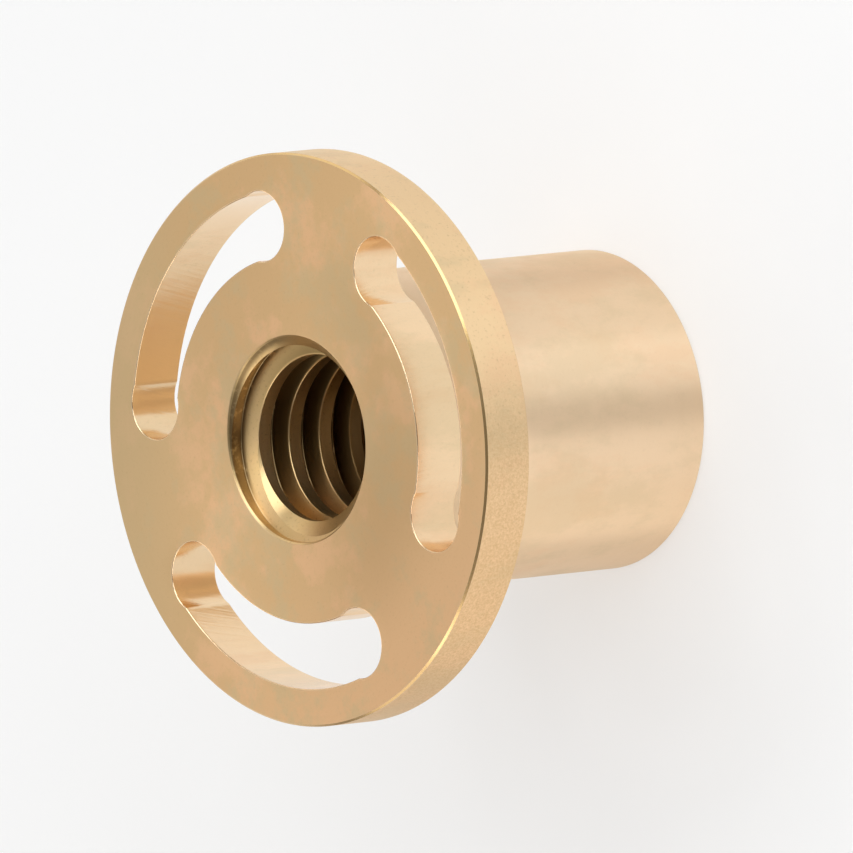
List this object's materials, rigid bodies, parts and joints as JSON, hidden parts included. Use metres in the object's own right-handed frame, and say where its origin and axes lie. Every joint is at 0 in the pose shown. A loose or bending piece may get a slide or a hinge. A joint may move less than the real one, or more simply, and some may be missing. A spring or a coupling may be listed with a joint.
{
  "type": "lead screw nut",
  "caption": "Flanged lead screw nut: a plain barrel with a round flange, a trapezoidal thread right through it and curved fixing slots in the flange",
  "frame": {"origin": "centre of the barrel's free end, on the thread's axis", "axes": "+Z along the thread, from the barrel's free end to the flange's front face; one of the flange's slots is centred on -Y"},
  "size_m": [0.057, 0.057, 0.04],
  "materials": {
    "bronze": "satin machined bronze"
  },
  "bodies": {
    "root": {"lead_screw_nut": "bronze"}
  },
  "joints": []
}
